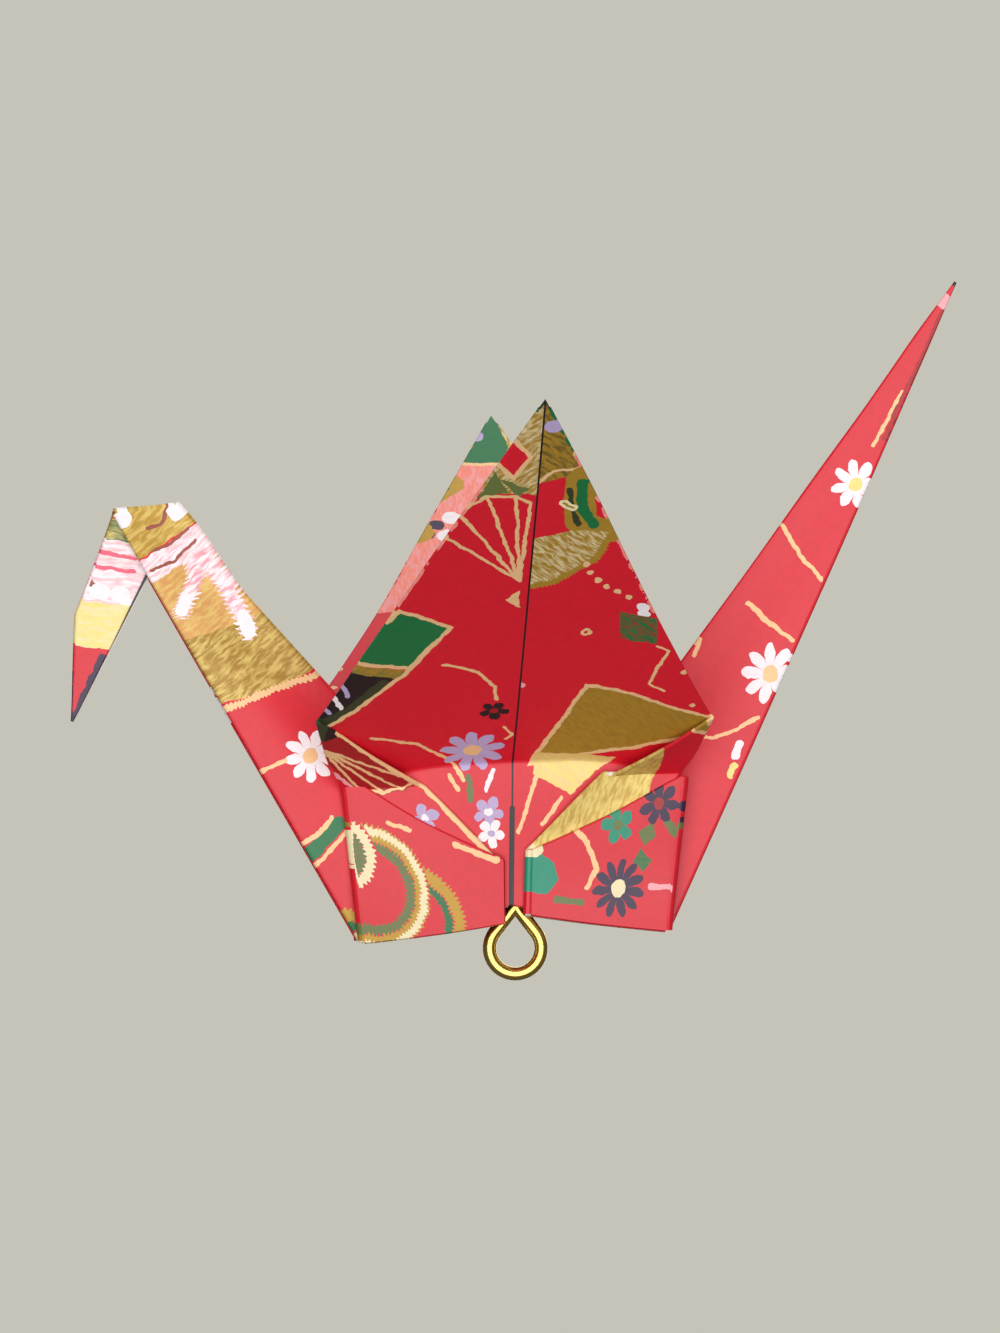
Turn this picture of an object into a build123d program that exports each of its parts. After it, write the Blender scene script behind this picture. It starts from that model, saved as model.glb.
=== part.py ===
from build123d import *
from math import cos, hypot, radians, sin, sqrt, tan
import os

# A crane folded from one square of printed washi, threaded on a brass eye pin.
# X runs from the neck to the tail, -Y is the side of the front wing, and +Z is up.
# The origin is the centre of the upper eye, which the crane hangs from.

# The sheet
sheet_side = 75.0
paper_thickness = 0.08
layer_gap = 0.02            # air left between two pressed layers
slit_width = 0.2            # between the raw edges that meet along the middle

# The folds, in degrees
narrowing_angle = 11.8      # between a leg's spine and the crease that narrows it
neck_lean = 30.0            # outer edge of the neck, from the vertical
tail_lean = 24.2
neck_base_slope = 12.8      # lower edge of the body, down towards the neck
tail_base_slope = 9.1
head_crease_tilt = 9.0      # top of the head, down towards the beak
wing_elevation = 38.5       # wings, above the horizontal

# The folds, in millimetres
notch_height = 37.3         # from a leg's tip up to the notch, before the leg is turned up
head_length = 10.9          # along the outer edge of the head

# How far hand-made folds depart from exact ones, as factors
neck_widening = 1.44        # width of the neck at the head, where its narrowing fold misses the tip
corner_spread = 1.11        # lower corners of the body, pushed out by what is folded between them
head_swell = 0.055          # of the head's length, by which its outer edge bulges

# The eye pin
wire_diameter = 0.7
eye_bore = 2.0
eye_length = 3.9            # from the end of the shank to the outside of the eye
pin_clearance = 0.1         # round the shank, where it passes through the paper

# The flat-folded crane, before the legs and wings are turned: the right half, with the legs' tips
# at (0, 0) and the middle line up the y axis. Folds that every crane has fall on these angles.
kite_angle = 22.5
half_side = sheet_side / 2
pitch = paper_thickness + layer_gap
spine_offset = wire_diameter / 2 + pin_clearance
edge_angle = 2 * narrowing_angle - kite_angle  # where a narrowed leg's inner edge comes to lie
eye_radius = (eye_bore + wire_diameter) / 2
eye_reach = eye_length - eye_radius - wire_diameter / 2

# Layers, counted outwards from the middle plane. The head lies inside the neck, and the neck and
# tail inside the body. Each kind of panel has a part inside the narrowing crease and one outside.
HEAD = {"leg_in": 1, "flap_in": 2, "flap_out": 3, "leg_out": 4}
NECK = {"leg_out": 5, "flap_out": 6, "flap_in": 7, "leg_in": 8}
TAIL = {"leg_out": 1, "flap_out": 2, "flap_in": 3, "leg_in": 4}
BODY = {"leg_in": 9, "hump_in": 10, "wing_in": 11, "flap_in": 12,
        "flap_out": 13, "wing_out": 14, "hump_out": 15, "leg_out": 16}


def ray(angle):
    """The direction at an angle from the upright."""
    return (sin(radians(angle)), cos(radians(angle)))


def meet(p, d, q, e):
    """Where the line through p along d crosses the line through q along e."""
    s = ((q[0] - p[0]) * e[1] - (q[1] - p[1]) * e[0]) / (d[0] * e[1] - d[1] * e[0])
    return (p[0] + s * d[0], p[1] + s * d[1])


def reflect(point, p, d):
    """The point, folded over the line through p along d."""
    dx, dy = point[0] - p[0], point[1] - p[1]
    along = 2 * (dx * d[0] + dy * d[1]) / (d[0] ** 2 + d[1] ** 2)
    return (p[0] + along * d[0] - dx, p[1] + along * d[1] - dy)


def mirrored(point):
    return (-point[0], point[1])


# Crease points of the flat-folded half
tip = (0, 0)
upright = ray(0)
narrowing = ray(narrowing_angle)
centre = (0, sqrt(2) * half_side)                     # the middle of the sheet, top of the hump
wing_tip = (0, 2 * half_side)
hinge_end = (half_side * tan(radians(kite_angle)), half_side)
hinge_fold = meet(tip, narrowing, (0, half_side), (1, 0))
hump_fold = meet(tip, narrowing, centre, (1, -1))
wing_fold = meet(tip, narrowing, wing_tip, (hinge_end[0], hinge_end[1] - wing_tip[1]))
tucked = reflect(hinge_end, tip, narrowing)           # where the hinge's end is folded over to
hang_height = centre[1] + pin_clearance + eye_reach
widening_end = 1.2 * head_length                      # the neck narrows from here to the body


def lower_corner(base_slope):
    """Lower corner of the body: where the folds would put it, and where the photo shows it."""
    body_edge = ((0, notch_height), (cos(radians(base_slope)), -sin(radians(base_slope))))
    exact = meet(tip, narrowing, *body_edge)
    x = exact[0] * corner_spread
    return body_edge, exact, (x, notch_height - x * tan(radians(base_slope)))


def from_fold(point):
    """A leg's point as (distance from the tip along the narrowing fold, distance from the fold)."""
    return (point[0] * narrowing[0] + point[1] * narrowing[1],
            point[1] * narrowing[0] - point[0] * narrowing[1])


def to_flat(along, off):
    return (along * narrowing[0] - off * narrowing[1], along * narrowing[1] + off * narrowing[0])


def inset(outline, distances):
    """The outline with every edge moved inwards by its own distance."""
    ahead = outline[1:] + outline[:1]
    area = sum(p[0] * q[1] - q[0] * p[1] for p, q in zip(outline, ahead))
    lines = []
    for p, q, distance in zip(outline, ahead, distances):
        d = (q[0] - p[0], q[1] - p[1])
        step = distance / hypot(*d) * (1 if area > 0 else -1)
        lines.append(((p[0] - d[1] * step, p[1] + d[0] * step), d))
    return [meet(*lines[i - 1], *lines[i]) for i in range(len(lines))]


def near_face(layer):
    return (layer - 1) * pitch + layer_gap / 2


def prism(outline, near, far):
    """The outline, given as (x, height above the legs' tips), between two depths from the middle."""
    corners = [(x, -near, y - hang_height) for x, y in outline]
    return extrude(Face(Wire.make_polygon(corners)), amount=far - near, dir=(0, -1, 0))


def panel(place, layer, corners, edges):
    """One flat panel of the sheet, and the turned paper along those edges where it is folded.

    Each edge, from its corner to the next, is (inset, layer of the panel that it is folded to).
    The layer is None where the edge is raw or its fold is made by the other panel.
    """
    insets = [distance for distance, _ in edges]
    outline = inset(corners, insets)
    pieces = [prism([place(p) for p in outline], near_face(layer), near_face(layer) + paper_thickness)]
    for i, (_, other) in enumerate(edges):
        if other is None:
            continue
        inner = inset(corners, [d + paper_thickness if folded_to == other else d
                                for d, folded_to in edges])
        j = (i + 1) % len(corners)
        strip = [outline[i], outline[j], inner[j], inner[i]]
        near = 0 if other == 0 else near_face(min(layer, other))
        far = near_face(max(layer, other)) + paper_thickness
        pieces.append(prism([place(p) for p in strip], near, far))
    return pieces


def leg(place, layers, base, end=None, end_layers=None, bulge=None):
    """The four panels of a leg between two crosswise creases, or from its tip.

    A crease is a point and a direction. end_layers are the layers that the end is folded to.
    bulge is a point that the narrowing fold goes out to between the tip and the base.
    """
    pieces = []
    nested = ["leg_in", "flap_in", "flap_out", "leg_out"]
    turned_in = layers["leg_in"] < layers["leg_out"]
    for name in nested:
        inner_edge = ray(edge_angle) if name.endswith("out") else upright
        is_flap = name.startswith("flap")
        side_inset = 0 if turned_in or name == "leg_in" else pitch
        partner = {"leg_in": 0, "flap_out": layers["leg_out"]}.get(name)
        fold_over = {"leg_in": layers["leg_out"], "flap_in": layers["flap_out"]}.get(name)
        corners = [meet(tip, narrowing, *base), meet(tip, inner_edge, *base)]
        base_inset = nested.index(name) if turned_in else 3 - nested.index(name)
        edges = [(base_inset * pitch, None), (side_inset, partner)]
        if end:
            corners += [meet(tip, inner_edge, *end), meet(tip, narrowing, *end)]
            edges += [(nested.index(name) * pitch, end_layers[name])]
        else:
            corners += [tip]
        edges += [(pitch if is_flap else 0, fold_over)]
        if bulge:
            corners += [bulge]
            edges += edges[-1:]
        pieces += panel(place, layers[name], corners, edges)
    return pieces


def leg_turn(side, base_slope, lean):
    """How a leg is turned up: its place in the crane, and the line of its base."""
    body_edge, exact, corner = lower_corner(base_slope)
    turn = radians(lean + narrowing_angle)

    def place(point):
        dx, dy = point[0] - exact[0], exact[1] - point[1]
        x = corner[0] + dx * cos(turn) + dy * sin(turn)
        return (side * x, corner[1] - dx * sin(turn) + dy * cos(turn))

    base_angle = turn - radians(base_slope)
    return place, (exact, (-cos(base_angle), sin(base_angle)))


def widened(point, base):
    """The neck's point, moved away from the narrowing fold. The neck's base stays as it is."""
    along, off = from_fold(point)
    start = from_fold(base[0])[0]
    share = min(max((start - along) / (start - widening_end), 0), 1)
    return to_flat(along, off * (1 + (neck_widening - 1) * share))


def half_body(side, base_slope, legs):
    """The body's and wing's panels on one side of the middle line: what stays, and what lifts."""
    def place(point):
        return (side * point[0], point[1])

    body_edge, _, corner = lower_corner(base_slope)
    notch = body_edge[0]
    lower = meet(tip, ray(edge_angle), *body_edge)
    body = panel(place, BODY["leg_in"], [notch, corner, hump_fold, centre],
                 [(3 * pitch, legs["leg_in"]), (0, BODY["leg_out"]), (0, BODY["hump_in"]),
                  (spine_offset, 0)])
    body += panel(place, BODY["leg_out"], [lower, corner, hump_fold, tucked],
                  [(0, legs["leg_out"]), (0, None), (0, BODY["hump_out"]), (0, BODY["flap_out"])])
    body += panel(place, BODY["hump_out"], [hinge_fold, tucked, hump_fold],
                  [(0, BODY["wing_out"]), (0, None), (pitch, BODY["hump_in"])])
    wing = panel(place, BODY["flap_in"], [notch, corner, hump_fold, wing_fold, wing_tip],
                 [(2 * pitch, legs["flap_in"]), (3 * pitch, BODY["flap_out"]),
                  (3 * pitch, BODY["flap_out"]), (0, BODY["wing_in"]), (slit_width / 2, None)])
    wing += panel(place, BODY["flap_out"], [lower, corner, hump_fold, wing_fold, tucked],
                  [(pitch, legs["flap_out"]), (3 * pitch, None), (3 * pitch, None),
                   (0, BODY["wing_out"]), (0, None)])
    wing += panel(place, BODY["wing_out"], [hinge_fold, tucked, wing_fold],
                  [(0, None), (0, None), (2 * pitch, BODY["wing_in"])])
    return body, wing


def middle_panels():
    """The panels that run across the middle line: the hump's face and the wing's upper face."""
    hump = panel(lambda p: p, BODY["hump_in"],
                 [centre, hump_fold, hinge_fold, mirrored(hinge_fold), mirrored(hump_fold)],
                 [(0, None), (pitch, None), (0, BODY["wing_in"]), (pitch, None), (0, None)])
    face = panel(lambda p: p, BODY["wing_in"],
                 [wing_tip, wing_fold, hinge_fold, mirrored(hinge_fold), mirrored(wing_fold)],
                 [(0, None), (2 * pitch, None), (0, None), (2 * pitch, None), (0, None)])
    return hump, face


def fuse(pieces):
    return pieces[0].fuse(*pieces[1:])


def lift_wing(flat):
    """Bends the front wing's layers forward across the top of the narrowing crease."""
    reach = 4 * sheet_side
    bend = 90 - wing_elevation
    pivot = Pos(0, -near_face(BODY["wing_out"]) - paper_thickness, hump_fold[1] - hang_height)
    below = pivot * Rot(bend / 2, 0, 0) * Pos(0, 0, -reach / 2) * Box(reach, reach, reach)
    above = pivot * Rot(-bend / 2, 0, 0) * Pos(0, 0, reach / 2) * Box(reach, reach, reach)
    lifted = pivot * Rot(bend, 0, 0) * (pivot.inverse() * (flat & above))
    return (flat & below) + lifted


def folded_sheet():
    """The whole crane. The front half is folded, and the back half is its mirror image."""
    turn_neck, neck_base = leg_turn(-1, neck_base_slope, neck_lean)
    to_tail, tail_base = leg_turn(1, tail_base_slope, tail_lean)

    # The head's crease on the widened leg, where it lies before that, and the head folded over it
    brow = tuple(head_length * c for c in narrowing)
    crease_angle = radians(neck_lean + narrowing_angle - head_crease_tilt)
    brow_line = (-cos(crease_angle), sin(crease_angle))
    along, off = from_fold(brow_line)
    crease = (brow, to_flat(along, off / neck_widening))

    def to_neck(point):
        return turn_neck(widened(point, neck_base))

    def to_head(point):
        return turn_neck(reflect(widened(point, neck_base), brow, brow_line))

    keep_out = spine_offset + pitch
    half_space = Box(4 * sheet_side, 4 * sheet_side, 4 * sheet_side)
    neck = fuse(leg(to_neck, NECK, neck_base, crease, HEAD))
    neck &= Pos(-keep_out - 2 * sheet_side, 0, 0) * half_space
    tail = fuse(leg(to_tail, TAIL, tail_base))
    tail &= Pos(keep_out + 2 * sheet_side, 0, 0) * half_space
    bulge = to_flat(head_length / 2, -head_swell * head_length)
    head = fuse(leg(to_head, HEAD, crease, bulge=bulge))

    hump, face = middle_panels()
    body, wing = [*hump], [*face]
    for side, slope, layers in ((-1, neck_base_slope, NECK), (1, tail_base_slope, TAIL)):
        stays, lifts = half_body(side, slope, layers)
        body += stays
        wing += lifts
    front = fuse([*body, neck, tail, head, lift_wing(fuse(wing))])
    sheet = front + mirror(front, about=Plane.XZ)
    shank_hole = Cylinder(spine_offset, 4 * sheet_side)
    return (sheet - shank_hole).clean()


def eye(end, direction):
    """A teardrop eye bent from the shank's end in the XZ plane, upwards or downwards."""
    spread = eye_radius / eye_reach
    side_x = eye_radius * sqrt(1 - spread ** 2)
    side_z = end + direction * (eye_reach - eye_radius * spread)
    start, bottom = (0, 0, end), (0, 0, end + direction * (eye_reach + eye_radius))
    left, right = (-side_x, 0, side_z), (side_x, 0, side_z)
    round_end = Edge.make_three_point_arc(left, bottom, right)
    section = Circle(wire_diameter / 2)
    wire = sweep(Plane(left, z_dir=round_end % 0) * section, round_end)
    for strand in (Edge.make_line(start, left), Edge.make_line(start, right)):
        wire += sweep(Plane(start, z_dir=strand % 0) * section, strand)
    return wire + Pos(*start) * Sphere(wire_diameter / 2)


def eye_pin():
    """The shank through the crane, with an eye bent at each end to hold it."""
    upper = -eye_reach
    lower = notch_height - hang_height - pin_clearance
    shank = Pos(0, 0, (upper + lower) / 2) * Cylinder(wire_diameter / 2, upper - lower)
    return shank + eye(upper, 1) + eye(lower, -1)


os.makedirs("parts", exist_ok=True)
export_step(folded_sheet(), "parts/folded_crane.step")
export_step(eye_pin(), "parts/eye_pin.step")
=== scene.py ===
import bmesh, bpy, math
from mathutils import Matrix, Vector, noise


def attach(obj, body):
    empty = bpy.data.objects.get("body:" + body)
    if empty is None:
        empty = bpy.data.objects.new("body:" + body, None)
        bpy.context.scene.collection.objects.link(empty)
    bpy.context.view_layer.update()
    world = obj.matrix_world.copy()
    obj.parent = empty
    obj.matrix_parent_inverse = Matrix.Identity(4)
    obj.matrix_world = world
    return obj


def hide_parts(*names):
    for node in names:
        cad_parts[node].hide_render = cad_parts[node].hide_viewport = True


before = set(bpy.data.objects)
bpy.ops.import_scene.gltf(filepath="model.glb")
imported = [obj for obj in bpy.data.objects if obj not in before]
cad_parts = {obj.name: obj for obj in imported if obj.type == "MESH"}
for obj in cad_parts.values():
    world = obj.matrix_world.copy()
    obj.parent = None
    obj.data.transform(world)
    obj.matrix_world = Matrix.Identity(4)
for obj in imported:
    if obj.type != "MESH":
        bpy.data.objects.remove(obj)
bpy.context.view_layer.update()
millimetre = 0.001

# The sheet and its folds, in millimetres and degrees: the creases are the solid's, the soft forms its own
crane = {
    "side": 75.0, "paper": 0.08,
    "pitch": 0.1,           # from the middle of one layer to the middle of the next
    "narrowing": 11.8, "notch": 37.3, "head": 10.9,
    "neckLean": 30.0, "tailLean": 24.2, "neckSlope": 12.8, "tailSlope": 9.1, "browTilt": 9.0,
    "neckWiden": 1.21, "headWiden": 0.23, "cornerSpread": 1.11, "headSwell": 0.055,
    "hang": 2.3,            # from the middle of the sheet up to the eye's centre
    "slit": 0.006, "pinRoom": 0.45, "tuckRoom": 0.15,
    "bodyInset": 0.35, "liftedInset": 0.5, "wingInset": 0.15, "legInset": 0.15,    # where layers wrap others
    "wingRise": 35.5, "wingCurl": 5.0, "bendRoom": 0.2,
    "bendArch": 0.3, "bendTilt": 0.045,    # the wing's fold isn't quite level
    "splay": 0.5, "slitSplay": 0.3,        # the body's layers open below, by this share of it at the slit
    "wingShift": -0.3,      # the wings aren't quite in the middle
    "backSkew": 0.8,        # the wing at the back leans the other way
    "droop": 0.6, "droopFrom": 3.0,        # the wings hang a little, from this far out of the middle
    "tailInset": 0.35,      # the tail's side is pressed in
    "sag": (1.0, 0.5),      # folded edges slip down towards the slit, at the neck and at the tail
    "pocket": 2.6,          # one folded edge stands off the wing
    "tipShare": 0.35,       # the layers lie closer at the tips
    "lowerRoundness": 0.12,                # the body's lower edges are pressed flat
    "wave": 0.07, "waveTurns": 0.13,       # paper is never quite flat: height, and waves per millimetre
    "cell": 0.6,            # spacing of the mesh
    "fine": (0.3, 2.1, 0.12),              # below and above the wing's fold, and spacing there
    "sharpFrom": 14,
}
# How many millimetres of paper each soft form takes to grow
over = {
    "bodyInset": 4.0, "legInset": 2.0, "lift": 3.0, "droop": 7.0, "backSkew": 18.0, "sag": 12.0,
    "swell": 7.0, "splay": 8.2, "splayAcross": 7.4, "arch": 14.0, "tailInset": 8.0, "neckWiden": 5.0,
    "headWiden": 2.0, "pinch": 3.5, "openingAcross": 5.0, "opening": 12.0, "tip": 4.0,
}
same = 1e-3       # two places on a crease this close are one
nothing = 1e-9    # no more than rounding
kiteAngle = 90 / 4
half = crane["side"] / 2
middle = half * math.sqrt(2)
hangHeight = middle + crane["hang"]


def ray(angle):
    # The direction at an angle from the middle line
    return Vector((math.sin(math.radians(angle)), math.cos(math.radians(angle))))


def meet(p, d, q, e):
    # Where the line through p along d meets the line through q along e
    return p + d * (((q - p).x * e.y - (q - p).y * e.x) / (d.x * e.y - d.y * e.x))


def reflect(point, p, d):
    # Folds a point over the line through p along d
    return p + d * (2 * (point - p).dot(d) / d.dot(d)) - (point - p)


def ease(t):
    t = min(max(t, 0.0), 1.0)
    return t * t * (3 - 2 * t)


# Crease points of one flat-folded half: leg's tip at (0, 0), middle line up the y axis
tip = Vector((0, 0))
across = Vector((1, 0))
upright = ray(0)
narrow = ray(crane["narrowing"])
kiteInner = ray(2 * crane["narrowing"] - kiteAngle)
centreTop = Vector((0, middle))
wingTip = Vector((0, 2 * half))
hingeMid = Vector((0, half))
hingeEnd = meet(tip, ray(kiteAngle), hingeMid, across)
hingeFold = meet(tip, narrow, hingeMid, across)
humpFold = meet(tip, narrow, centreTop, Vector((1, -1)))
wingFold = meet(tip, narrow, wingTip, hingeEnd - wingTip)
tucked = reflect(hingeEnd, tip, narrow)
notch = Vector((0, crane["notch"]))
brow = narrow * crane["head"]

# Layers from the middle plane outwards, as the folds put them
headLayers = {"legIn": 1, "flapIn": 2, "flapOut": 3, "legOut": 4}
neckLayers = {"legOut": 5, "flapOut": 6, "flapIn": 7, "legIn": 8}
tailLayers = {"legOut": 1, "flapOut": 2, "flapIn": 3, "legIn": 4}
bodyLayers = {"legIn": 9, "humpIn": 10, "wingIn": 11, "flapIn": 12,
              "flapOut": 13, "wingOut": 14, "humpOut": 15, "legOut": 16}

points, sheetPlaces, faces = [], [], []


def sheetPlace(name, side, face, x, y):
    # Where a point of the folded half lies on the open sheet, from its middle, corners on the axes
    if name.endswith("Out"):
        x, y = reflect(Vector((x, y)), tip, narrow)
    if name.startswith("flap"):
        u, v = middle - (x + y) * math.sqrt(0.5), (x - y) * math.sqrt(0.5)
    elif name.startswith("leg"):
        u, v = middle - y, -x
    elif name.startswith("hump"):
        u, v = x, y - middle
    else:
        u, v = x, 2 * half - middle - y
    return side * u, face * v


def clip(outline, a, b, c):
    # Keeps the part of a convex outline where a x + b y <= c
    kept = []
    for i, p in enumerate(outline):
        q = outline[(i + 1) % len(outline)]
        dp, dq = a * p[0] + b * p[1] - c, a * q[0] + b * q[1] - c
        if dp <= nothing:
            kept.append(p)
        if (dp < -nothing and dq > nothing) or (dp > nothing and dq < -nothing):
            t = dp / (dp - dq)
            kept.append((p[0] + (q[0] - p[0]) * t, p[1] + (q[1] - p[1]) * t))
    return kept


def gridLines(low, high, fine=None):
    # Where the cells of a panel end. fine: a stretch with closer lines, and their spacing
    step, apart = crane["cell"], 0.05
    places = {round(i * step, 6) for i in range(math.floor(low / step), math.ceil(high / step) + 1)}
    if fine:
        places = {v for v in places if not fine[0] - apart < v < fine[1] + apart}
        count = round((fine[1] - fine[0]) / fine[2])
        places |= {round(fine[0] + i * fine[2], 6) for i in range(count + 1)}
    return sorted(places)


def addPanel(name, side, face, outline, place, fine=None):
    # Cuts one flat panel into cells and lays them in the crane, printed side by their winding
    outline = [tuple(p) for p in outline]
    panel = {"name": name, "place": place, "points": {}, "outline": outline,
             "sheet": lambda x, y: sheetPlace(name, side, face, x, y)}
    xs, ys = [p[0] for p in outline], [p[1] for p in outline]
    rows, columns = gridLines(min(ys), max(ys), fine), gridLines(min(xs), max(xs))
    for y0, y1 in zip(rows, rows[1:]):
        strip = clip(clip(outline, 0, -1, -y0), 0, 1, y1)
        if len(strip) < 3:
            continue
        for x0, x1 in zip(columns, columns[1:]):
            cell = clip(clip(strip, -1, 0, -x0), 1, 0, x1)
            keys = []
            for x, y in cell:
                key = (round(x, 4), round(y, 4))
                if key not in keys:
                    keys.append(key)
            area = sum(p[0] * q[1] - q[0] * p[1] for p, q in zip(keys, keys[1:] + keys[:1]))
            if len(keys) < 3 or abs(area) < 1e-4:
                continue
            loop = []
            for key in keys:
                if key not in panel["points"]:
                    panel["points"][key] = len(points)
                    points.append(place(*key))
                    sheetPlaces.append(panel["sheet"](*key))
                loop.append(panel["points"][key])
            spots = [sheetPlaces[i] for i in loop]
            spot = [sum(c) / len(spots) for c in zip(*spots)]
            turn = sum((p[0] - spot[0]) * (q[1] - spot[1]) - (q[0] - spot[0]) * (p[1] - spot[1])
                       for p, q in zip(spots, spots[1:] + spots[:1]))
            faces.append(loop if turn > 0 else loop[::-1])
    return panel


def creaseRow(panel, p, q):
    # A panel's points on the crease p-q, in order
    along = q - p
    row = []
    for key, index in panel["points"].items():
        w = Vector(key) - p
        t = w.dot(along) / along.length_squared
        if -same < t < 1 + same and (w - along * t).length < same:
            row.append((t, key, index))
    return sorted(row)


def addFold(panel, p, q, farPanel=None, farPlace=None, steps=4, roundness=1.0):
    # Turns the paper over along p-q, to the same crease of another panel or to another depth
    row = creaseRow(panel, p, q)
    farRow = creaseRow(farPanel, p, q) if farPanel else row
    pairs = [(a, b) for a in row for b in farRow if (Vector(a[1]) - Vector(b[1])).length < same]
    row, farRow = zip(*pairs)
    centre = Vector([sum(c) / len(panel["outline"]) for c in zip(*panel["outline"])])
    out = Vector(((q - p).y, -(q - p).x)).normalized()
    if (centre - p).dot(out) > 0:
        out = -out
    out *= 0.05    # a short step past the crease shows which way the paper goes on
    lanes = []
    for (t, key, index), far in zip(row, farRow):
        spot, here = sheetPlaces[index], points[index]
        there = points[far[2]] if farPanel else farPlace(*key)
        away = panel["place"](key[0] + out.x, key[1] + out.y) - here
        span = (here - there) / 2
        if span.length > 1e-6:
            away -= span * (away.dot(span) / span.length_squared)
        away.normalize()
        lane = [index]
        bulge = span.length * roundness
        for i in range(1, steps):
            angle = math.pi * i / steps
            points.append((here + there) / 2 + span * math.cos(angle) + away * bulge * math.sin(angle))
            sheetPlaces.append(spot)
            lane.append(len(points) - 1)
        if farPanel:
            lane.append(far[2])
        else:
            points.append(there)
            sheetPlaces.append(spot)
            lane.append(len(points) - 1)
        lanes.append(lane)
    a, b = (Vector(panel["sheet"](*row[i][1])) for i in (0, -1))
    inside = Vector(panel["sheet"](*centre)) - a
    forward = (b - a).x * inside.y - (b - a).y * inside.x > 0
    for left, right in zip(lanes, lanes[1:]):
        for i in range(steps):
            loop = [right[i], left[i], left[i + 1], right[i + 1]]
            faces.append(loop if forward else loop[::-1])


def layerDepth(layer):
    return crane["pitch"] * (layer - 0.5)


def waveAt(x, y, part):
    # Another number for the part gives another wave
    return crane["wave"] * noise.noise(Vector((x * crane["waveTurns"], y * crane["waveTurns"], part)))


def insetFrom(x, y, amount, reach):
    # Room at the narrowing crease for the turned paper of the layers that wrap the others
    gap = y * narrow.x - x * narrow.y
    shift = amount * (1 - ease(gap / reach))
    return x - narrow.y * shift, y + narrow.x * shift


def lowerCorner(slope):
    # Where the folds would put the body's lower corner, and where it is
    edge = Vector((math.cos(math.radians(slope)), -math.sin(math.radians(slope))))
    exact = meet(tip, narrow, notch, edge)
    return edge, exact, notch + edge * (exact.x * crane["cornerSpread"] / edge.x)


def bodyPlace(side, face, name, layer=None):
    # Gives the function that puts a point of one of the body's or wing's panels in the crane
    layer = layer or bodyLayers[name]
    lifts = name.startswith(("wing", "flap"))
    towards = math.radians(90 - crane["wingRise"])
    curl = math.radians(crane["wingCurl"]) / (wingTip.y - humpFold.y)
    pivot = layerDepth(bodyLayers["wingOut"]) + crane["bendRoom"]
    neutral = pivot - layerDepth(bodyLayers["flapIn"])
    level = humpFold.y - (crane["bendRoom"] - crane["paper"] / 2) * math.tan(towards / 2)

    def place(x, y):
        depth = layerDepth(layer)
        wave = waveAt(side * x, y, face * 3.7)
        inset, lower, skew = crane["bodyInset"], 0, 0
        if lifts:
            lifted = ease((y - level) / over["lift"])
            inset = crane["liftedInset"] + (crane["wingInset"] - crane["liftedInset"]) * lifted
        x, y = insetFrom(x, y, inset, over["bodyInset"])
        if lifts:
            lower = crane["droop"] * ease((x - crane["droopFrom"]) / over["droop"])
            lower *= ease((y - level + over["lift"]) / over["lift"])
        if lifts and face < 0:
            skew = crane["backSkew"] * ease((y - level) / over["backSkew"])
        if name.endswith("Out"):
            slips = ease((y - tucked.y + over["sag"]) / over["sag"]) * max(1 - (x / humpFold.x) ** 2, 0)
            lower += crane["sag"][side > 0] * slips
        # The body swells a little below the wing, so the fold rises and the wing keeps its plane
        rise = (crane["bendArch"] * (1 - min(x / humpFold.x, 1) ** 2)
                + crane["bendTilt"] * (side * face * min(x, humpFold.x) + humpFold.x))
        fold = level + rise
        swell = rise * math.tan(towards) * ease((y - level + over["swell"]) / (over["swell"] + rise))
        if name in ("flapOut", "wingOut") and side * face > 0:
            # The folded edge stands off the wing between its corner and the body
            p, q, r = wingFold, humpFold, tucked
            area = (q - p).x * (r - p).y - (q - p).y * (r - p).x
            wp = ((q.x - x) * (r.y - y) - (q.y - y) * (r.x - x)) / area
            wr = ((p.x - x) * (q.y - y) - (p.y - y) * (q.x - x)) / area
            if wp > 0 and wr > 0:
                depth += crane["pocket"] * wp ** 1.5 * wr
        low = min(max((humpFold.y - y) / over["splay"], 0.0), 1.0)
        opens = crane["slitSplay"] + (1 - crane["slitSplay"]) * x / over["splayAcross"]
        depth += crane["splay"] * low * low * opens
        if lifts and y > fold:
            s = y - fold
            turned = min(s / neutral, towards)
            rest = max(s - neutral * towards, 0.0)
            bend = turned - curl * rest
            offset = pivot - depth - wave * ease(s / over["lift"])
            along = (math.sin(towards) - math.sin(bend)) / curl if rest else 0.0
            forward = (math.cos(bend) - math.cos(towards)) / curl if rest else 0.0
            back = rise * (1 / math.cos(towards) - 1) * ease(s / over["arch"])
            y = fold + offset * math.sin(bend) + along - back * math.cos(towards)
            depth = pivot + swell - offset * math.cos(bend) + forward - back * math.sin(towards)
        elif not lifts and y > level:
            # Towards the middle of the sheet the layers make room for the pin
            t = ease((y - level) / (centreTop.y - level))
            depth += swell + wave
            depth += (crane["pinRoom"] + layerDepth(layer - bodyLayers["legIn"] + 1) - depth) * t
        else:
            depth += swell
        shift = crane["wingShift"] + skew if lifts else 0
        if side > 0:
            shift -= crane["tailInset"] * ease(x / over["tailInset"])
        return Vector((side * x + shift, -face * depth, y - lower - hangHeight))
    return place


def fromFold(x, y):
    # A leg's point as distances along the narrowing crease, from the tip, and from the crease
    return x * narrow.x + y * narrow.y, y * narrow.x - x * narrow.y


def toFlat(along, off):
    return Vector((along * narrow.x - off * narrow.y, along * narrow.y + off * narrow.x))


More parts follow.
